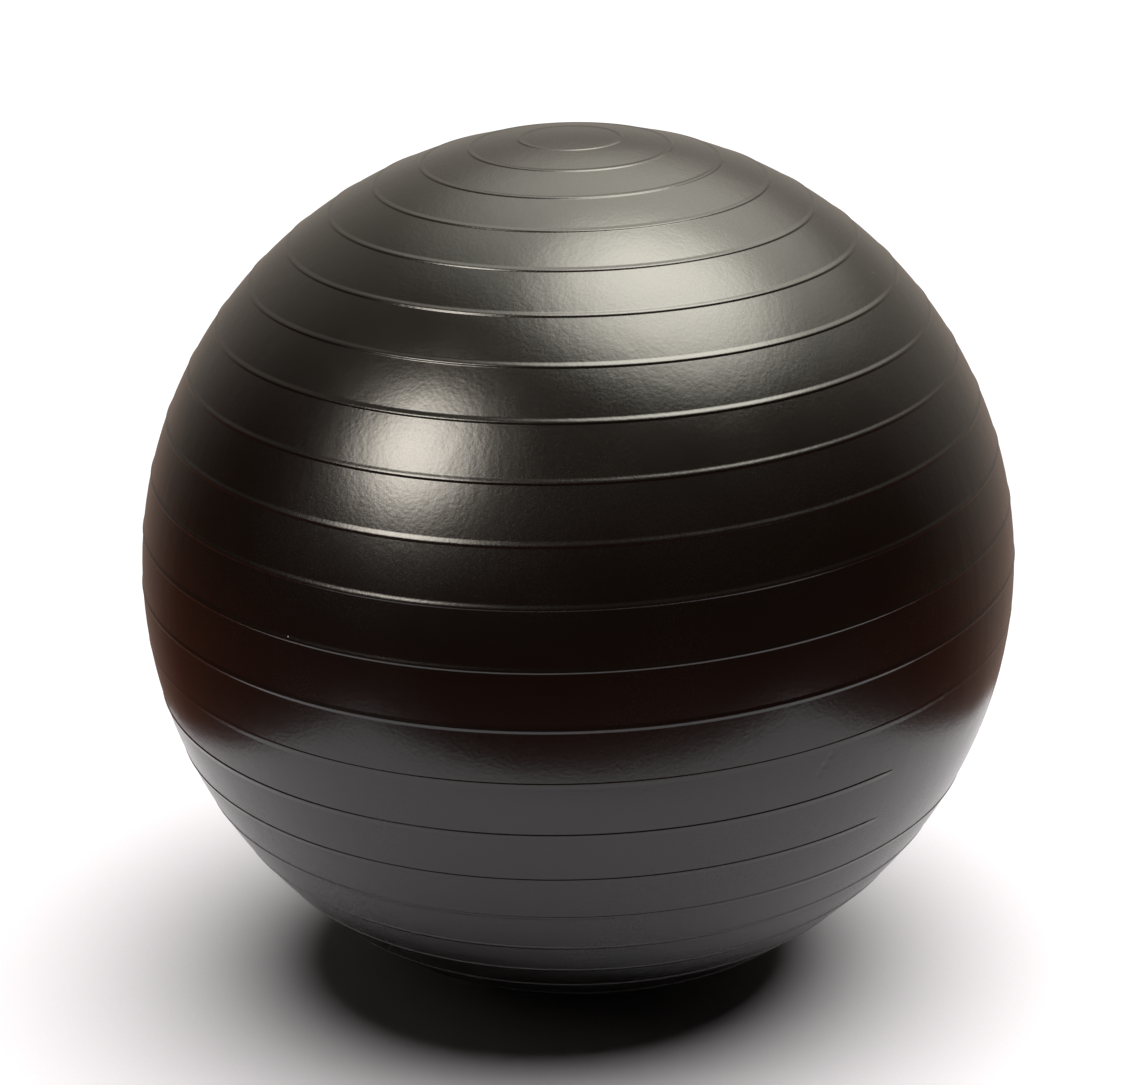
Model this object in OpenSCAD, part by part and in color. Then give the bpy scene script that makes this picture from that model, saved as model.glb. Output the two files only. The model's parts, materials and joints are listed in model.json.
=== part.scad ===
// Ribbed exercise ball with a plug valve.
// Millimetres, +Z up. The origin is the middle of the flat on which the ball rests,
// and the valve lies towards +X, a little below the ball's equator.

/* [Ball] */
// Diameter of the inflated ball over its smooth skin
ball_d = 650; // [450:50:850]
// Thickness of the inflated wall
wall_t = 0.9; // [0.8:0.1:2]
// Height by which the ball's own weight flattens it where it rests
rest_squash = 1; // [0.6:0.1:1.4]

/* [Ribs] */
// Number of raised rings from pole to pole
rib_count = 25; // [17:4:33]
// Width of a rib at the skin
rib_w = 5.5; // [3:0.5:7]
// Height of a rib above the skin
rib_h = 0.4; // [0.3:0.1:1.2]
// Crowding of the ribs towards the poles, in degrees
rib_crowding = 2.13; // [0:0.01:3]

/* [Smooth panel] */
// Angle round the ball over which the panel's ribs are left out
panel_angle = 94; // [40:2:120]
// Number of ribs that stop at the panel
panel_rows = 2; // [2:2:4]

/* [Valve seat] */
// Radius of the collar that fills the hole in the wall
collar_r = 10.5; // [10.5:0.1:11.5]
// Radius of the flange bonded behind the wall
flange_r = 19; // [17:1:24]
// Thickness of the flange
flange_t = 1.2; // [1:0.1:1.6]
// Radius of the boss behind the recess
boss_r = 12; // [12:0.5:15]
// Depth of the boss below the skin
boss_depth = 4; // [4:0.5:6]
// Radius of the neck that points into the ball
neck_r = 7.2; // [6.5:0.1:9]
// Depth of the neck's end below the skin
neck_depth = 18; // [14:1:19]
// Radius of the recess for the plug's head
recess_r = 9.6; // [9.5:0.1:9.8]
// Depth of that recess
recess_depth = 2; // [1.8:0.1:2.4]
// Radius of the bore at the recess
bore_r = 4.65; // [4.3:0.05:5]
// Radius lost along each millimetre of the tapered bore
bore_taper = 0.056; // [0.02:0.002:0.07]

/* [Plug] */
// Radius of the plug's head
head_r = 9.3; // [8.8:0.1:9.3]
// Gap from the head's face to the skin
head_sink = 0.2; // [0.1:0.1:0.4]
// Radius of the dimple in the head
dimple_r = 5; // [3:0.5:7]
// Depth of the dimple
dimple_depth = 0.5; // [0.2:0.1:0.8]
// Length of the plug's stem below the head
stem_len = 21; // [20:1:26]
// Radial clearance between stem and bore
stem_fit = 0.05; // [0.02:0.01:0.1]
// Number of grooves round the stem
groove_count = 3; // [1:1:3]
// Width of a groove
groove_w = 1.5; // [1:0.1:2]
// Depth of a groove
groove_depth = 0.3; // [0.1:0.1:0.5]
// Distance from one groove to the next
groove_pitch = 4; // [3:0.5:4.5]
// Radius of the hole up the stem from its tip
core_r = 1.8; // [1:0.1:2]
// Depth of that hole
core_depth = 15; // [5:1:17]
// Chamfer round the stem's tip
tip_chamfer = 0.8; // [0.4:0.1:1]

/* [Hidden] */

// smoothness of the ball, of the valve and of a rib's section
ball_fn = 240;
valve_fn = 96;
rib_fn = 48;

// margin by which a cutting shape passes the face it cuts
over = 1;

ball_r = ball_d / 2;
centre_z = ball_r - rest_squash;

// a rib's section is part of a circle, rib_sink inside the skin
rib_r = (pow(rib_w / 2, 2) + pow(rib_h, 2)) / (2 * rib_h);
rib_sink = rib_r - rib_h;
mid_rib = (rib_count + 1) / 2;
panel_first = mid_rib + 2;
panel_last = panel_first + panel_rows - 1;

// angle from the upper pole down to the valve, midway between the panel's ribs
valve_angle = (rib_angle(panel_first) + rib_angle(panel_last)) / 2;

// heights along the valve's axis, from the ball's centre
recess_y = ball_r - recess_depth;
boss_y = ball_r - boss_depth;
neck_y = ball_r - neck_depth;
tip_y = recess_y - stem_len;

// Angle from the upper pole down to rib k, a little wider apart at the equator
function rib_angle(k) = 90 * k / mid_rib - rib_crowding * sin(180 * k / mid_rib);

// True for a rib that stops at the smooth panel
function in_panel(k) = k >= panel_first && k <= panel_last;

// Radius of the bore at height y on the valve's axis
function bore_r_at(y) = bore_r - bore_taper * (recess_y - y);

// Moves a shape made about the ball's centre up to its place above the floor
module about_centre() {
    translate([0, 0, centre_z])
        children();
}

// Turns a shape made along +Z so that it points out through the valve
module on_valve_axis() {
    about_centre()
        rotate([0, valve_angle, 0])
            children();
}

// Half of a disc of radius r that is cut off level at height y_low
module half_disc(r, y_low) {
    intersection() {
        circle(r = r, $fn = ball_fn);
        translate([0, y_low])
            square([r + over, 2 * r + over]);
    }
}

// Section of rib k as a whole circle
module rib_circle(k) {
    translate((ball_r - rib_sink) * [sin(rib_angle(k)), cos(rib_angle(k))])
        circle(r = rib_r, $fn = rib_fn);
}

// Section of the wall with every rib that runs all the way round
module wall_section() {
    difference() {
        union() {
            half_disc(ball_r, -centre_z);
            for (k = [1:rib_count])
                if (!in_panel(k))
                    rib_circle(k);
        }
        half_disc(ball_r - wall_t, wall_t - centre_z);
    }
}

// Section of a rib that stops at the panel, rooted halfway into the wall
module panel_rib_section(k) {
    difference() {
        rib_circle(k);
        circle(r = ball_r - wall_t / 2, $fn = ball_fn);
    }
}

// The moulded ball with its ribs, its smooth panel and the hole for the valve
module shell() {
    color([0.12, 0.11, 0.10])
        difference() {
            about_centre()
                union() {
                    rotate_extrude($fn = ball_fn)
                        wall_section();
                    for (k = [panel_first:panel_last])
                        rotate([0, 0, panel_angle / 2])
                            rotate_extrude(angle = 360 - panel_angle, $fn = ball_fn)
                                panel_rib_section(k);
                }
            on_valve_axis()
                translate([0, 0, boss_y])
                    cylinder(r = collar_r, h = boss_depth + over, $fn = valve_fn);
        }
}

// Section of the seat before its recess and bore are cut
module seat_blank() {
    // collar through the wall, flush with the skin
    intersection() {
        circle(r = ball_r, $fn = ball_fn);
        translate([0, boss_y])
            square([collar_r, boss_depth + over]);
    }
    // flange behind the wall
    intersection() {
        difference() {
            circle(r = ball_r - wall_t, $fn = ball_fn);
            circle(r = ball_r - wall_t - flange_t, $fn = ball_fn);
        }
        translate([0, boss_y])
            square([flange_r, boss_depth]);
    }
    // boss behind the recess, and the neck
    translate([0, boss_y])
        square([boss_r, boss_depth - wall_t - flange_t / 2]);
    translate([0, neck_y])
        square([neck_r, neck_depth - boss_depth + over]);
}

// The insert bonded into the wall, with a recess and a tapered bore for the plug
module valve_seat() {
    color([0.16, 0.15, 0.14])
        on_valve_axis()
            rotate_extrude($fn = valve_fn)
                difference() {
                    seat_blank();
                    translate([0, recess_y])
                        square([recess_r, recess_depth + over]);
                    polygon([
                        [0, neck_y - over],
                        [bore_r_at(neck_y - over), neck_y - over],
                        [bore_r_at(recess_y + over), recess_y + over],
                        [0, recess_y + over]
                    ]);
                }
}

// Section of the plug's stem, with its grooves and the hole up from its tip
module stem_section() {
    stem_top_r = bore_r_at(recess_y) - stem_fit;
    stem_low_r = bore_r_at(tip_y + tip_chamfer) - stem_fit;
    difference() {
        polygon([
            [0, tip_y],
            [stem_low_r - tip_chamfer, tip_y],
            [stem_low_r, tip_y + tip_chamfer],
            [stem_top_r, recess_y],
            [0, recess_y]
        ]);
        for (i = [1:groove_count])
            translate([bore_r_at(recess_y - i * groove_pitch) - groove_depth, recess_y - i * groove_pitch])
                square([groove_depth + over, groove_w]);
        translate([0, tip_y - over])
            square([core_r, core_depth + over]);
    }
}

// The stopper: a head that lies just below the skin, and a tapered stem
module plug() {
    color([0.92, 0.91, 0.88])
        on_valve_axis()
            rotate_extrude($fn = valve_fn) {
                difference() {
                    intersection() {
                        circle(r = ball_r - head_sink, $fn = ball_fn);
                        translate([0, recess_y])
                            square([head_r, recess_depth]);
                    }
                    translate([0, ball_r - head_sink - dimple_depth])
                        square([dimple_r, recess_depth]);
                }
                stem_section();
            }
}

shell();
valve_seat();
plug();
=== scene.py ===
import json
import math

import bpy
import numpy as np
from mathutils import Matrix, Quaternion, Vector


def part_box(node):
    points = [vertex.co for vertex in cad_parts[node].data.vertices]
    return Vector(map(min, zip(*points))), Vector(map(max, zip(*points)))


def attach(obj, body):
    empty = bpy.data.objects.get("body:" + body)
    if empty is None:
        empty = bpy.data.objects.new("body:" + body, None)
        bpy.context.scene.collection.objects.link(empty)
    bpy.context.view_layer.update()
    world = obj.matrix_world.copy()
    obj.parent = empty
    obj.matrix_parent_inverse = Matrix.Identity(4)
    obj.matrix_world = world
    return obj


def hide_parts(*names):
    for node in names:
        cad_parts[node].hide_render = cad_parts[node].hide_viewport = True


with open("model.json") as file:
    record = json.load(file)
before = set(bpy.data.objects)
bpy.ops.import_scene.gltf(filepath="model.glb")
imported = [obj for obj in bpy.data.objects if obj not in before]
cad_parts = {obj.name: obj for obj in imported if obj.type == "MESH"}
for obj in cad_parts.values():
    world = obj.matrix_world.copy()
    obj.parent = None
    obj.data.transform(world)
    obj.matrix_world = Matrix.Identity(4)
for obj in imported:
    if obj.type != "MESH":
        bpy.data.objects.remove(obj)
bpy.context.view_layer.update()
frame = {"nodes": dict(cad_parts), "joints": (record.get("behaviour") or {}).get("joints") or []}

MM = 0.001

# ---------------------------------------------------------------- the ball, as the CAD model has it
RIB_COUNT = 25
RIB_WIDTH = 5.5 * MM
RIB_HEIGHT = 0.4 * MM
RIB_CROWDING = math.radians(2.13)
PANEL_ANGLE = math.radians(94)
WALL = 0.9 * MM
COLLAR_RADIUS = 10.5 * MM

shell_low, shell_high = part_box("shell")
BALL_RADIUS = shell_high.x - RIB_HEIGHT
CENTRE = Vector((0, 0, shell_high.z - BALL_RADIUS))
FLOOR_Z = shell_low.z
MID_RIB = (RIB_COUNT + 1) // 2
PANEL_RIBS = (MID_RIB + 2, MID_RIB + 3)
plug_pull = next(j for j in frame["joints"] if j["name"] == "plug_pull")
VALVE_AXIS = Vector(plug_pull["axis"]).normalized()
VALVE_TURN = math.atan2(VALVE_AXIS.y, VALVE_AXIS.x)


def rib_angle(k):
    """Angle from the upper pole down to rib k."""
    half_turn = math.pi * k / MID_RIB
    return half_turn / 2 - RIB_CROWDING * math.sin(half_turn)


def towards(azimuth, elevation):
    """Direction for degrees round from -Y towards +X, and degrees above the horizon."""
    a, e = math.radians(azimuth), math.radians(elevation)
    return Vector((math.sin(a) * math.cos(e), -math.cos(a) * math.cos(e), math.sin(e)))


# ---------------------------------------------------------------- the skin's relief
# height of a rib's crest, and of the one that came out fainter than the rest
RIB_RISE = 0.55 * MM
FAINT_RISE = 0.2 * MM
FAINT_RIB = MID_RIB + 1
# a rib's crest lies this share of its half width nearer the equator: ribs above it, ribs below it
UPPER_LEAN, LOWER_LEAN = 0.35, 0.6
# length over which a rib fades out at the panel, and its width there as a share of the whole
RIB_END_FADE = 9 * MM
RIB_END_WIDTH = 0.3
# the skin turns into the flat it rests on over this much height either way
FOOT_BLEND = 0.35 * MM
# how far the ribs wander: degrees for a constant, and for waves of one and two turns round the ball
WANDER = (-0.5, -0.9, -0.8)
# degrees from the upper pole over which the wander grows, and over which it dies away
WANDER_FROM, WANDER_TO = (46, 75), (126, 165)
WANDER_PASSES = 4
# step used to find the skin's slope, in radians
SLOPE_STEP = 2e-5


def smooth(value, low, high):
    """0 below low, 1 above high and a smooth rise between them."""
    share = np.clip((value - low) / (high - low), 0, 1)
    return share * share * (3 - 2 * share)


def wander(angle, azimuth):
    """How far a rib drawn at this angle from the pole strays from it."""
    turn = azimuth - VALVE_TURN
    stray = WANDER[0] + WANDER[1] * np.cos(turn) + WANDER[2] * np.cos(2 * turn)
    down = np.degrees(angle)
    return np.radians(stray) * (smooth(down, *WANDER_FROM) - smooth(down, *WANDER_TO))


def rib_section(across, crest):
    """Height of a rib's section as a share of its full height, across from -1 to 1."""
    inside = np.clip(np.minimum((1 + across) / (1 + crest), (1 - across) / (1 - crest)), 0, 1)
    return 0.5 - 0.5 * np.cos(math.pi * inside)


def rib_lean(k):
    """Where rib k's crest lies across it, from -1 at its upper foot to 1 at its lower."""
    if k == MID_RIB:
        return 0.0
    return UPPER_LEAN if k < MID_RIB else -LOWER_LEAN


def from_panel_end(azimuth, angle):
    """Distance along a rib from the panel's nearer edge, positive outside the panel."""
    turn = np.abs(np.mod(azimuth - VALVE_TURN + math.pi, 2 * math.pi) - math.pi)
    return (turn - PANEL_ANGLE / 2) * BALL_RADIUS * np.sin(angle)


def relief(angle, azimuth):
    """Height of the skin above the smooth ball, for arrays of angles from the pole and azimuths."""
    drawn = angle
    for _ in range(WANDER_PASSES):
        drawn = angle - wander(drawn, azimuth)
    height = np.zeros_like(angle)
    for k in range(1, RIB_COUNT + 1):
        share = np.ones_like(angle)
        if k in PANEL_RIBS:
            share = smooth(from_panel_end(azimuth, angle), 0, RIB_END_FADE)
        half_width = RIB_WIDTH / 2 * (RIB_END_WIDTH + (1 - RIB_END_WIDTH) * share)
        across = (drawn - rib_angle(k)) * BALL_RADIUS / half_width
        rise = FAINT_RISE if k == FAINT_RIB else RIB_RISE
        height += rise * share * rib_section(across, rib_lean(k))
    return height


def settle(z, low):
    """Flattens heights below low, with a short smooth turn into the flat."""
    above = z - low
    turning = low + (above + FOOT_BLEND) ** 2 / (4 * FOOT_BLEND)
    return np.where(above > FOOT_BLEND, z, np.where(above < -FOOT_BLEND, low, turning))


def ball_points(radius, angle, azimuth, flat):
    """Points of a ball of this radius that rests on a flat at this height."""
    x = radius * np.sin(angle) * np.cos(azimuth)
    y = radius * np.sin(angle) * np.sin(azimuth)
    z = settle(CENTRE.z + radius * np.cos(angle), flat)
    return np.stack([x, y, z], -1)


def skin_points(angle, azimuth):
    """Points of the outer skin."""
    return ball_points(BALL_RADIUS + relief(angle, azimuth), angle, azimuth, FLOOR_Z)


def skin_normals(points):
    """Outward normals of the outer skin at points that lie on it."""
    from_centre = points - np.array(CENTRE)
    flat = np.hypot(from_centre[:, 0], from_centre[:, 1])
    angle = np.arctan2(flat, from_centre[:, 2])
    azimuth = np.arctan2(from_centre[:, 1], from_centre[:, 0])
    angle = np.clip(angle, 4 * SLOPE_STEP, math.pi - 4 * SLOPE_STEP)
    down = skin_points(angle + SLOPE_STEP, azimuth) - skin_points(angle - SLOPE_STEP, azimuth)
    turn = SLOPE_STEP / np.sin(angle)
    along = skin_points(angle, azimuth + turn) - skin_points(angle, azimuth - turn)
    normals = np.cross(down, along)
    return normals / np.linalg.norm(normals, axis=1, keepdims=True)


# ---------------------------------------------------------------- the skin's mesh
COLUMNS = 240
# rows over each flank of a rib, over each band between ribs, and from the last rib to the lower pole
FLANK_STEPS = 5
BAND_STEPS = 3
LAST_BAND_STEPS = 9
# distance from a rib's foot to the next row, as a share of its half width
FOOT_GUARD = 0.2
INNER_ROWS, INNER_COLUMNS = 48, 96
# the tool that cuts the hole for the valve: its sides, and its reach inside and outside the skin
HOLE_SIDES = 96
HOLE_INSIDE, HOLE_OUTSIDE = 6 * MM, 3 * MM
# a face whose normal has at least this share of a direction is taken to face that way
FACING = 0.5
LEVEL = 0.9


def skin_rows():
    """Angles from the upper pole for the skin's rows, close together over each rib."""
    half = RIB_WIDTH / 2 / BALL_RADIUS
    guard = FOOT_GUARD * half
    rows, previous = [], 0.0
    for k in range(1, RIB_COUNT + 1):
        low, crest, high = (rib_angle(k) + half * share for share in (-1, rib_lean(k), 1))
        rows += list(np.linspace(previous, low - guard, BAND_STEPS + 1)[1:])
        rows += list(np.linspace(low, crest, FLANK_STEPS + 1))
        rows += list(np.linspace(crest, high, FLANK_STEPS + 1)[1:])
        previous = high + guard
        rows.append(previous)
    rows += list(np.linspace(previous, math.pi, LAST_BAND_STEPS + 1)[1:-1])
    return np.array(rows)


def ball_grid(rows, columns, place, first, inwards):
    """Points and faces of a closed ball made of rows and columns, its points numbered from first."""
    azimuths = np.linspace(0, 2 * math.pi, columns, endpoint=False)
    angle, azimuth = np.meshgrid(rows, azimuths, indexing="ij")
    middle = place(angle.ravel(), azimuth.ravel())
    poles = place(np.array([0.0, math.pi]), np.zeros(2))
    points = np.concatenate([poles[:1], middle, poles[1:]])
    last = len(points) - 1
    faces = []
    for j in range(columns):
        after = (j + 1) % columns
        faces.append((0, 1 + j, 1 + after))
        for i in range(len(rows) - 1):
            upper, lower = 1 + i * columns, 1 + (i + 1) * columns
            faces.append((upper + j, lower + j, lower + after, upper + after))
        bottom = 1 + (len(rows) - 1) * columns
        faces.append((bottom + j, last, bottom + after))
    faces = [tuple(first + v for v in (reversed(f) if inwards else f)) for f in faces]
    return points, faces


def outer_points(drawn, azimuth):
    """Points of the outer skin, for angles as the ribs are drawn."""
    return skin_points(drawn + wander(drawn, azimuth), azimuth)


def inner_points(angle, azimuth):
    """Points of the wall's inner face."""
    return ball_points(BALL_RADIUS - WALL, angle, azimuth, FLOOR_Z + WALL)


def new_object(name, points, faces):
    """A mesh object made from points and faces."""
    mesh = bpy.data.meshes.new(name)
    mesh.from_pydata([tuple(p) for p in points], [], faces)
    mesh.validate()
    obj = bpy.data.objects.new(name, mesh)
    bpy.context.scene.collection.objects.link(obj)
    return obj


def along_valve():
    """Turns +Z at the ball's centre into the valve's axis."""
    turn = Vector((0, 0, 1)).rotation_difference(VALVE_AXIS).to_matrix().to_4x4()
    return Matrix.Translation(CENTRE) @ turn


def cut_valve_hole(obj):
    """Cuts the round hole for the valve seat's collar through the wall."""
    n = HOLE_SIDES
    ring = [(COLLAR_RADIUS * math.cos(t), COLLAR_RADIUS * math.sin(t))
            for t in np.linspace(0, 2 * math.pi, n, endpoint=False)]
    points = [(x, y, BALL_RADIUS - HOLE_INSIDE) for x, y in ring]
    points += [(x, y, BALL_RADIUS + HOLE_OUTSIDE) for x, y in ring]
    faces = [tuple(reversed(range(n))), tuple(range(n, 2 * n))]
    faces += [(i, (i + 1) % n, n + (i + 1) % n, n + i) for i in range(n)]
    cutter = new_object("cutter", points, faces)
    cutter.data.transform(along_valve())
    cut = obj.modifiers.new("hole", "BOOLEAN")
    cut.operation = "DIFFERENCE"
    cut.solver = "EXACT"
    cut.object = cutter
    bpy.context.view_layer.update()
    evaluated = obj.evaluated_get(bpy.context.evaluated_depsgraph_get())
    mesh = bpy.data.meshes.new_from_object(evaluated)
    obj.modifiers.clear()
    obj.data = mesh
    bpy.data.objects.remove(cutter)


def shade_skin(obj):
    """Smooth shading with the skin's true normals on its outer face."""
    mesh = obj.data
    mesh.shade_smooth()
    points = np.zeros(len(mesh.vertices) * 3)
    mesh.vertices.foreach_get("co", points)
    points = points.reshape(-1, 3)
    from_centre = points - np.array(CENTRE)
    outer_normals = skin_normals(points)
    inner_normals = -from_centre / np.linalg.norm(from_centre, axis=1, keepdims=True)
    loop_normals = np.zeros((len(mesh.loops), 3))
    for face in mesh.polygons:
        way = (face.center - CENTRE).normalized()
        facing = face.normal.dot(way)
        if face.center.z < FLOOR_Z + WALL + FOOT_BLEND and abs(face.normal.z) > LEVEL:
            facing = -face.normal.z
        for loop in face.loop_indices:
            vertex = mesh.loops[loop].vertex_index
            if facing > FACING:
                loop_normals[loop] = outer_normals[vertex]
            elif facing < -FACING:
                loop_normals[loop] = inner_normals[vertex]
            else:
                loop_normals[loop] = face.normal
    mesh.normals_split_custom_set([tuple(n) for n in loop_normals])


def make_skin():
    """The ball's wall as one closed skin, with its ribs and the hole for the valve."""
    outer, outer_faces = ball_grid(skin_rows(), COLUMNS, outer_points, 0, False)
    inner_rows = np.linspace(0, math.pi, INNER_ROWS + 1)[1:-1]
    inner, inner_faces = ball_grid(inner_rows, INNER_COLUMNS, inner_points, len(outer), True)
    skin = new_object("ball_skin", np.concatenate([outer, inner]), outer_faces + inner_faces)
    cut_valve_hole(skin)
    shade_skin(skin)
    skin.data.materials.clear()
    skin.data.materials.append(skin_material())
    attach(skin, "ball")
    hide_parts("shell")
    return skin


# ---------------------------------------------------------------- turned pieces of the valve
TURNED_SIDES = 128
CORNER_STEPS = 5
# a corner's arc takes at most this share of the shorter side beside it
CORNER_SHARE = 0.49
# a point nearer the axis than this lies on it, in metres
ON_AXIS = 1e-7


def axial_extent(node):
    """Lowest place along the valve's axis, and the largest radius, of a CAD node."""
    points = np.array([v.co for v in frame["nodes"][node].data.vertices]) - np.array(CENTRE)
    heights = points @ np.array(VALVE_AXIS)
    radii = np.linalg.norm(points - np.outer(heights, np.array(VALVE_AXIS)), axis=1)
    return heights.min(), radii.max()


def rounded(outline, closed):
    """Points and normals of an outline of (radius, height, corner radius), its corners as arcs."""
    count = len(outline)
    points, normals = [], []
    for i, (x, y, corner) in enumerate(outline):
        here = np.array([x, y])
        if not closed and i in (0, count - 1):
            other = np.array(outline[1 if i == 0 else count - 2][:2])
            way = (other - here) if i == 0 else (here - other)
            points.append(here)
            normals.append(way)
            continue
        before = np.array(outline[i - 1][:2]) - here
        after = np.array(outline[(i + 1) % count][:2]) - here
        room = min(np.linalg.norm(before), np.linalg.norm(after)) * CORNER_SHARE
        before, after = before / np.linalg.norm(before), after / np.linalg.norm(after)
        half = math.acos(np.clip(before @ after, -1, 1)) / 2
        reach = min(corner / math.tan(half), room)
        start, end = here + before * reach, here + after * reach
        for t in np.linspace(0, 1, CORNER_STEPS + 1):
            points.append((1 - t) ** 2 * start + 2 * t * (1 - t) * here + t * t * end)
            normals.append((1 - t) * -before + t * after)
    normals = [np.array([n[1], -n[0]]) / np.linalg.norm(n) for n in normals]
    return points, normals


def turned(name, outline, closed):
    """A piece turned about the valve's axis from an outline that runs with its solid on the left."""
    points2, normals2 = rounded(outline, closed)
    place = along_valve()
    spin = place.to_3x3()
    points, normals, rings = [], [], []
    for (r, h), (nr, nh) in zip(points2, normals2, strict=True):
        if r < ON_AXIS:
            rings.append([len(points)])
            points.append(place @ Vector((0, 0, h)))
            normals.append(spin @ Vector((0, 0, math.copysign(1, nh))))
            continue
        rings.append(list(range(len(points), len(points) + TURNED_SIDES)))
        for i in range(TURNED_SIDES):
            t = 2 * math.pi * i / TURNED_SIDES
            points.append(place @ Vector((r * math.cos(t), r * math.sin(t), h)))
            normals.append(spin @ Vector((nr * math.cos(t), nr * math.sin(t), nh)))
    faces = []
    pairs = list(zip(rings, rings[1:] + rings[:1], strict=True))
    for one, two in pairs if closed else pairs[:-1]:
        for i in range(TURNED_SIDES):
            j = (i + 1) % TURNED_SIDES
            corners = [one[i % len(one)], one[j % len(one)], two[j % len(two)], two[i % len(two)]]
            faces.append(tuple(dict.fromkeys(corners)))
    obj = new_object(name, points, faces)
    obj.data.shade_smooth()
    obj.data.normals_split_custom_set_from_vertices([tuple(n) for n in normals])
    return obj


# the valve's sizes, as the CAD model has them but for the small slopes and the gate
RECESS_DEPTH = 2.0 * MM
RECESS_RADIUS = 9.6 * MM
BOSS_RADIUS, BOSS_DEPTH = 12 * MM, 4 * MM
NECK_RADIUS = 7.2 * MM
FLANGE_THICKNESS = 1.2 * MM
BORE_RADIUS = 4.65 * MM
BORE_TAPER = 0.056
STEM_FIT = 0.05 * MM
HEAD_SINK = 0.2 * MM
DIMPLE_RADIUS, DIMPLE_DEPTH = 5 * MM, 0.5 * MM
DIMPLE_SLOPE, DIMPLE_LIP = 0.4 * MM, 0.05 * MM
GROOVES = 3
GROOVE_WIDTH, GROOVE_DEPTH, GROOVE_PITCH = 1.5 * MM, 0.3 * MM, 4 * MM
GROOVE_SLOPE = 0.2 * MM
CORE_RADIUS, CORE_DEPTH = 1.8 * MM, 15 * MM
TIP_CHAMFER = 0.8 * MM
# the moulding gate's stub in the plug's dimple, and how much wider it is at its foot
GATE_RADIUS, GATE_HEIGHT = 0.9 * MM, 0.18 * MM
GATE_SPREAD = 1.15
RECESS_HEIGHT = BALL_RADIUS - RECESS_DEPTH


def bore_radius(height):
    """Radius of the tapered bore at a height on the valve's axis."""
    return BORE_RADIUS - BORE_TAPER * (RECESS_HEIGHT - height)


def make_valve_seat():
    """The insert bonded into the wall, with its recess and bore."""
    neck_end, flange_radius = axial_extent("valve_seat")
    collar_top = math.sqrt(BALL_RADIUS**2 - COLLAR_RADIUS**2)
    behind = BALL_RADIUS - WALL
    flange_top = math.sqrt(behind**2 - flange_radius**2)
    flange_root = math.sqrt(behind**2 - COLLAR_RADIUS**2)
    boss_height = BALL_RADIUS - BOSS_DEPTH
    flange_low = flange_top - FLANGE_THICKNESS
    outline = [
        (COLLAR_RADIUS, collar_top, 0.15 * MM),
        (RECESS_RADIUS, collar_top, 0.25 * MM),
        (RECESS_RADIUS, RECESS_HEIGHT, 0.3 * MM),
        (bore_radius(RECESS_HEIGHT), RECESS_HEIGHT, 0.4 * MM),
        (bore_radius(neck_end), neck_end, 0.3 * MM),
        (NECK_RADIUS, neck_end, 0.6 * MM),
        (NECK_RADIUS, boss_height, 0.8 * MM),
        (BOSS_RADIUS, boss_height, 0.4 * MM),
        (BOSS_RADIUS, flange_low, 0.4 * MM),
        (flange_radius, flange_low, 0.3 * MM),
        (flange_radius, flange_top, 0.2 * MM),
        (COLLAR_RADIUS, flange_root, 0.1 * MM),
    ]
    seat = turned("valve_seat_insert", outline, True)
    seat.data.materials.append(seat_material())
    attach(seat, "ball")
    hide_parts("valve_seat")
    return seat


def make_plug():
    """The stopper, with its dimpled head and grooved stem."""
    tip, head_radius = axial_extent("plug")
    head_top = BALL_RADIUS - HEAD_SINK
    head_edge = math.sqrt(head_top**2 - head_radius**2)
    dimple = head_top - DIMPLE_DEPTH
    under = RECESS_HEIGHT
    outline = [
        (0, dimple + GATE_HEIGHT, 0),
        (GATE_RADIUS, dimple + GATE_HEIGHT, 0.1 * MM),
        (GATE_RADIUS * GATE_SPREAD, dimple, 0.1 * MM),
        (DIMPLE_RADIUS - DIMPLE_SLOPE, dimple, 0.5 * MM),
        (DIMPLE_RADIUS, head_top - DIMPLE_LIP, 0.3 * MM),
        (head_radius, head_edge, 0.45 * MM),
        (head_radius, under, 0.25 * MM),
        (bore_radius(under) - STEM_FIT, under, 0.1 * MM),
    ]
    for i in range(1, GROOVES + 1):
        low = under - i * GROOVE_PITCH
        high = low + GROOVE_WIDTH
        crest_high, crest_low = bore_radius(high) - STEM_FIT, bore_radius(low) - STEM_FIT
        root = bore_radius(low) - GROOVE_DEPTH
        outline += [
            (crest_high, high, 0.2 * MM),
            (root, high - GROOVE_SLOPE, 0.2 * MM),
            (root, low + GROOVE_SLOPE, 0.2 * MM),
            (crest_low, low, 0.2 * MM),
        ]
    stem_end = bore_radius(tip + TIP_CHAMFER) - STEM_FIT
    outline += [
        (stem_end, tip + TIP_CHAMFER, 0.5 * MM),
        (stem_end - TIP_CHAMFER, tip, 0.3 * MM),
        (CORE_RADIUS, tip, 0.3 * MM),
        (CORE_RADIUS, tip + CORE_DEPTH, 0.4 * MM),
        (0, tip + CORE_DEPTH, 0),
    ]
    plug = turned("valve_plug", outline[::-1], False)
    plug.data.materials.append(plug_material())
    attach(plug, "plug")
    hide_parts("plug")
    return plug


# ---------------------------------------------------------------- materials
# small moulding flaws: angle round from -Y towards +X, elevation, radius, height
PIPS = (
    (73, 46.5, 2.4 * MM, 0.35 * MM),
    (-38, 7.3, 1.6 * MM, 0.30 * MM),
    (31.9, -8.1, 4.5 * MM, -0.25 * MM),
    (31.1, -9.3, 4.5 * MM, -0.28 * MM),
    (30.4, -10.4, 4.0 * MM, -0.2 * MM),
    (152, 29.0, 2.0 * MM, 0.25 * MM),
)


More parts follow.
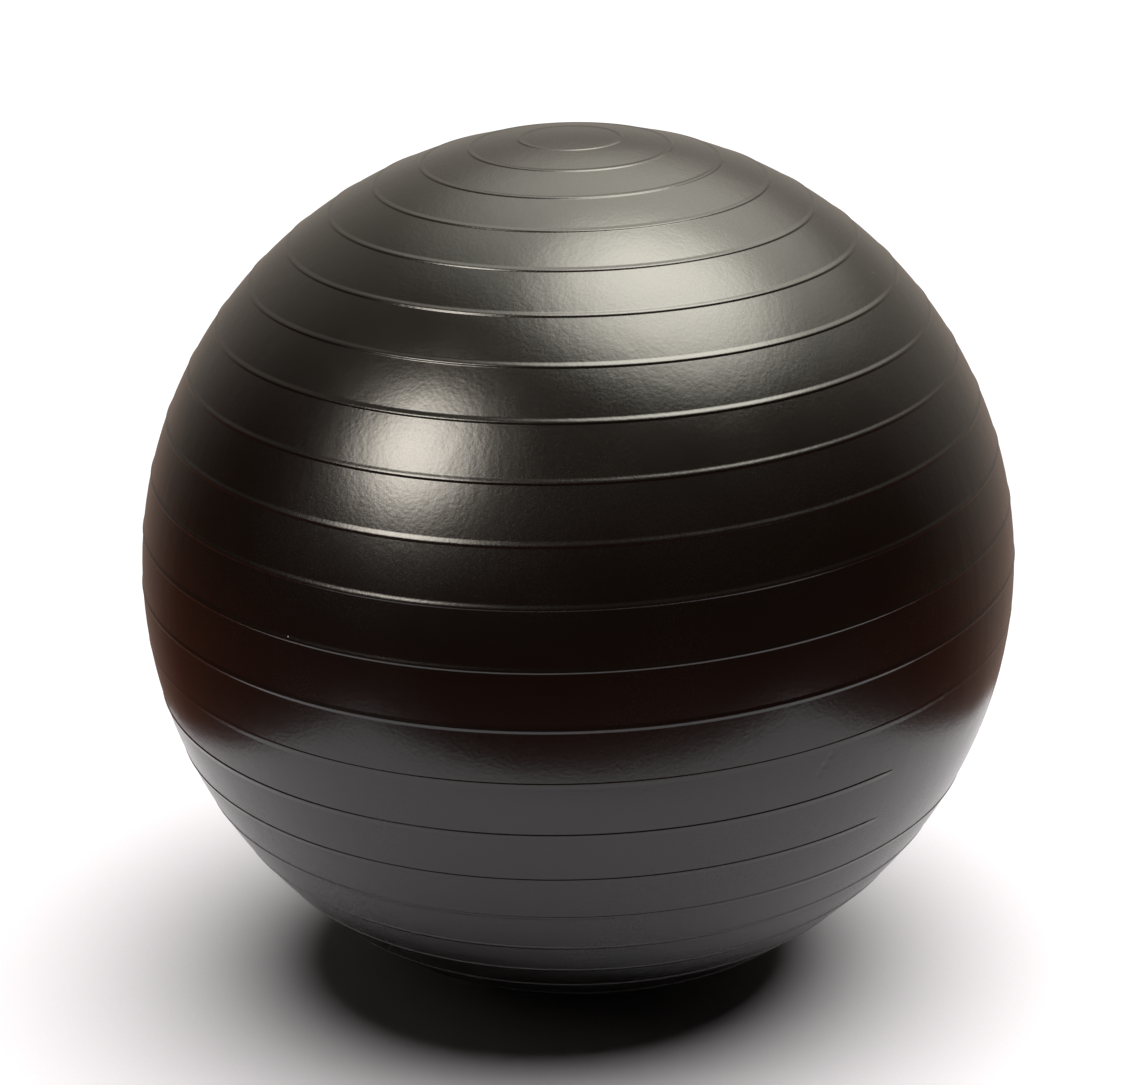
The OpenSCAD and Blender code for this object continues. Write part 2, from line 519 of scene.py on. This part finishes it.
class Nodes:
    """Short names for making and joining shader nodes."""

    def __init__(self, tree):
        self.tree = tree
        tree.nodes.clear()

    def add(self, kind, **settings):
        node = self.tree.nodes.new(kind)
        for name, value in settings.items():
            setattr(node, name, value)
        return node

    def join(self, out_socket, in_socket):
        self.tree.links.new(out_socket, in_socket)

    def total(self, first, second):
        node = self.add("ShaderNodeMath", operation="ADD")
        self.join(first, node.inputs[0])
        self.join(second, node.inputs[1])
        return node.outputs[0]

    def noise(self, where, scale, detail=2.0, stretch=(1, 1, 1)):
        mapping = self.add("ShaderNodeMapping")
        mapping.inputs["Scale"].default_value = stretch
        self.join(where, mapping.inputs["Vector"])
        node = self.add("ShaderNodeTexNoise")
        node.inputs["Scale"].default_value = scale
        node.inputs["Detail"].default_value = detail
        self.join(mapping.outputs[0], node.inputs["Vector"])
        return node.outputs["Fac"]

    def spread(self, value, low, high, to_low, to_high, way="LINEAR"):
        node = self.add("ShaderNodeMapRange", interpolation_type=way)
        for name, number in (("From Min", low), ("From Max", high), ("To Min", to_low), ("To Max", to_high)):
            node.inputs[name].default_value = number
        self.join(value, node.inputs["Value"])
        return node.outputs[0]

    def colour(self, value, socket):
        if isinstance(value, tuple):
            socket.default_value = (*value, 1)
        else:
            self.join(value, socket)

    def between(self, value, low, high):
        # a mix node's colours are its sockets 6 and 7, and its output 2
        node = self.add("ShaderNodeMix", data_type="RGBA")
        self.join(value, node.inputs[0])
        self.colour(low, node.inputs[6])
        self.colour(high, node.inputs[7])
        return node.outputs[2]

    def bump(self, height, distance, under=None):
        node = self.add("ShaderNodeBump")
        node.inputs["Strength"].default_value = 1.0
        node.inputs["Distance"].default_value = distance
        self.join(height, node.inputs["Height"])
        if under is not None:
            self.join(under, node.inputs["Normal"])
        return node.outputs[0]


def new_material(name):
    """A material with one shader, and the piece's own coordinates."""
    material = bpy.data.materials.new(name)
    material.use_nodes = True
    nodes = Nodes(material.node_tree)
    shader = nodes.add("ShaderNodeBsdfPrincipled")
    out = nodes.add("ShaderNodeOutputMaterial")
    nodes.join(shader.outputs[0], out.inputs[0])
    where = nodes.add("ShaderNodeTexCoord").outputs["Object"]
    return material, nodes, shader, where


def pip(nodes, where, azimuth, elevation, radius):
    """A small round rise at one place on the skin, from 0 to 1."""
    place = nodes.add("ShaderNodeVectorMath", operation="DISTANCE")
    place.inputs[1].default_value = CENTRE + towards(azimuth, elevation) * BALL_RADIUS
    nodes.join(where, place.inputs[0])
    return nodes.spread(place.outputs["Value"], 0, radius, 1, 0, "SMOOTHSTEP")


def skin_material():
    """Satin-gloss PVC: nearly black and warm, with a fine moulded grain and soft cloudy patches."""
    material, nodes, shader, where = new_material("pvc_skin")
    cloud = nodes.noise(where, 9, 3)
    grain = nodes.noise(where, 360, 3)
    pits = nodes.noise(where, 900, 2)
    streaks = nodes.noise(where, 90, 2, (1, 1, 0.1))
    swell = nodes.noise(where, 26, 2)
    colour = nodes.between(cloud, (0.0008, 0.0004, 0.0003), (0.0018, 0.0009, 0.0006))
    nodes.join(colour, shader.inputs["Base Color"])
    rough = nodes.spread(cloud, 0.35, 0.65, 0.22, 0.26)
    rough = nodes.total(rough, nodes.spread(pits, 0.3, 0.7, -0.03, 0.03))
    nodes.join(rough, shader.inputs["Roughness"])
    shader.inputs["IOR"].default_value = 1.5
    waves = nodes.bump(swell, 0.15 * MM)
    waves = nodes.bump(streaks, 0.12 * MM, under=waves)
    waves = nodes.bump(grain, 0.085 * MM, under=waves)
    for azimuth, elevation, radius, height in PIPS:
        rise = pip(nodes, where, azimuth, elevation, radius)
        waves = nodes.bump(rise, height, under=waves)
    nodes.join(waves, shader.inputs["Normal"])
    return material


def seat_material():
    """The seat's softer, duller PVC."""
    material, nodes, shader, where = new_material("pvc_seat")
    cloud = nodes.noise(where, 180, 3)
    grain = nodes.noise(where, 1400, 2)
    colour = nodes.between(cloud, (0.010, 0.0085, 0.0075), (0.018, 0.016, 0.014))
    nodes.join(colour, shader.inputs["Base Color"])
    nodes.join(nodes.spread(cloud, 0.3, 0.7, 0.38, 0.5), shader.inputs["Roughness"])
    nodes.join(nodes.bump(grain, 0.02 * MM), shader.inputs["Normal"])
    return material


def plug_material():
    """White polyethylene with faint scuffs and a little light inside it."""
    material, nodes, shader, where = new_material("polyethylene_plug")
    cloud = nodes.noise(where, 300, 3)
    scuffs = nodes.noise(where, 900, 4, (1, 0.15, 1))
    colour = nodes.between(cloud, (0.74, 0.73, 0.69), (0.82, 0.81, 0.78))
    nodes.join(colour, shader.inputs["Base Color"])
    nodes.join(nodes.spread(scuffs, 0.3, 0.7, 0.34, 0.5), shader.inputs["Roughness"])
    shader.inputs["Subsurface Weight"].default_value = 0.15
    shader.inputs["Subsurface Radius"].default_value = (1.0, 0.8, 0.6)
    shader.inputs["Subsurface Scale"].default_value = 1.5 * MM
    nodes.join(nodes.bump(scuffs, 0.01 * MM), shader.inputs["Normal"])
    return material


def sheet_material():
    """A matt paper floor."""
    material, nodes, shader, where = new_material("paper_floor")
    fibre = nodes.noise(where, 300, 3)
    nodes.join(nodes.between(fibre, (0.35, 0.335, 0.34), (0.37, 0.355, 0.36)), shader.inputs["Base Color"])
    shader.inputs["Roughness"].default_value = 0.9
    shader.inputs["Specular IOR Level"].default_value = 0.1
    return material


# ---------------------------------------------------------------- floor, light and camera
# corners of the paper sheet on the floor, in ball radii, from the near left one round to the far left
SHEET = ((-2.45, -2.15), (2.5, -2.25), (1.5, 1.3), (-1.45, 1.3))
# the camera's roll and elevation, its distance in ball radii, its lens and sensor in mm, and its shift
ROLL = math.radians(-1.12)
CAMERA_ELEVATION = 20.3
CAMERA_DISTANCE = 8.16
LENS, SENSOR = 113.0, 36.0
CAMERA_SHIFT = (-0.01396, 0.0144)
NEAR_CLIP, FAR_CLIP = 0.1, 50
WARM = (1, 0.97, 0.85)
LAMP = (1, 0.93, 0.82)
# soft round lights mirrored in the ball: the softbox overhead, the light that spills from it, the lamp
# at the front left and the back wall. Angle round from -Y towards +X, elevation, reach, strength, colour
LIGHTS = (
    (100, 72, 30, 12.0, WARM),
    (150, 62, 45, 3.0, WARM),
    (-55, 39, 18, 22.0, LAMP),
    (170, 30, 80, 0.45, WARM),
)

# the soft lamp overhead that lights the floor: angle round, elevation, angle across, strength
FLOOR_LAMP = (90, 82, 68, 11.4)
# colours of the room: below the horizon, at wall height and overhead
ROOM = ((0.15, 0.05, 0.03), (0.06, 0.03, 0.02), (0.12, 0.1, 0.07))
# sines of the elevations between which each colour turns into the next
ROOM_TURNS = ((-0.3, 0.0), (0.2, 0.7))
# the plain white that the camera sees past the ball
WHITE, WHITE_STRENGTH = (1, 1, 1), 1.1


def make_floor():
    """The paper sheet under the ball."""
    corners = [(x * BALL_RADIUS, y * BALL_RADIUS, FLOOR_Z) for x, y in SHEET]
    floor = new_object("floor_sheet", corners, [(0, 1, 2, 3)])
    floor.data.materials.append(sheet_material())


def add_lobe(nodes, where, total, light):
    """Adds one soft round light to the world's colour."""
    azimuth, elevation, reach, strength, colour = light
    facing = nodes.add("ShaderNodeVectorMath", operation="DOT_PRODUCT")
    facing.inputs[1].default_value = towards(azimuth, elevation)
    nodes.join(where, facing.inputs[0])
    edge = math.cos(math.radians(reach))
    lobe = nodes.spread(facing.outputs["Value"], edge, 1, 0, 1, "SMOOTHSTEP")
    glow = nodes.add("ShaderNodeVectorMath", operation="SCALE")
    glow.inputs[0].default_value = [strength * c for c in colour]
    nodes.join(lobe, glow.inputs["Scale"])
    more = nodes.add("ShaderNodeVectorMath", operation="ADD")
    nodes.join(total, more.inputs[0])
    nodes.join(glow.outputs[0], more.inputs[1])
    return more.outputs[0]


def background(nodes, colour, strength):
    node = nodes.add("ShaderNodeBackground")
    nodes.colour(colour, node.inputs["Color"])
    node.inputs["Strength"].default_value = strength
    return node.outputs[0]


def make_studio():
    """The room that the ball reflects, and plain white where the camera looks past it."""
    world = bpy.data.worlds.new("studio")
    bpy.context.scene.world = world
    world.use_nodes = True
    nodes = Nodes(world.node_tree)
    where = nodes.add("ShaderNodeTexCoord").outputs["Generated"]
    height = nodes.add("ShaderNodeSeparateXYZ")
    nodes.join(where, height.inputs[0])
    rises = [nodes.spread(height.outputs["Z"], low, high, 0, 1, "SMOOTHSTEP") for low, high in ROOM_TURNS]
    walls = nodes.between(rises[0], ROOM[0], ROOM[1])
    total = nodes.between(rises[1], walls, ROOM[2])
    for light in LIGHTS:
        total = add_lobe(nodes, where, total, light)
    both = nodes.add("ShaderNodeMixShader")
    nodes.join(nodes.add("ShaderNodeLightPath").outputs["Is Camera Ray"], both.inputs[0])
    nodes.join(background(nodes, total, 1.0), both.inputs[1])
    nodes.join(background(nodes, WHITE, WHITE_STRENGTH), both.inputs[2])
    out = nodes.add("ShaderNodeOutputWorld")
    nodes.join(both.outputs[0], out.inputs[0])
    world.cycles_visibility.diffuse = False


def make_floor_lamp():
    """A wide soft lamp that lights the floor and doesn't show as a reflection."""
    azimuth, elevation, across, strength = FLOOR_LAMP
    data = bpy.data.lights.new("floor_lamp", "SUN")
    data.energy = strength
    data.angle = math.radians(across)
    lamp = bpy.data.objects.new("floor_lamp", data)
    bpy.context.scene.collection.objects.link(lamp)
    lamp.rotation_mode = "QUATERNION"
    lamp.rotation_quaternion = towards(azimuth, elevation).to_track_quat("Z", "Y")
    lamp.visible_glossy = False


def make_camera():
    """The camera at the photo's angle."""
    data = bpy.data.cameras.new("camera")
    camera = bpy.data.objects.new("camera", data)
    bpy.context.scene.collection.objects.link(camera)
    back = towards(0, CAMERA_ELEVATION)
    camera.location = CENTRE + back * CAMERA_DISTANCE * BALL_RADIUS
    camera.rotation_mode = "QUATERNION"
    camera.rotation_quaternion = Quaternion(back, ROLL) @ (-back).to_track_quat("-Z", "Y")
    data.sensor_width = SENSOR
    data.lens = LENS
    data.shift_x, data.shift_y = CAMERA_SHIFT
    data.clip_start, data.clip_end = NEAR_CLIP, FAR_CLIP
    bpy.context.scene.camera = camera


make_skin()
make_valve_seat()
make_plug()
make_floor()
make_studio()
make_floor_lamp()
make_camera()
bpy.context.scene.view_settings.view_transform = "Standard"
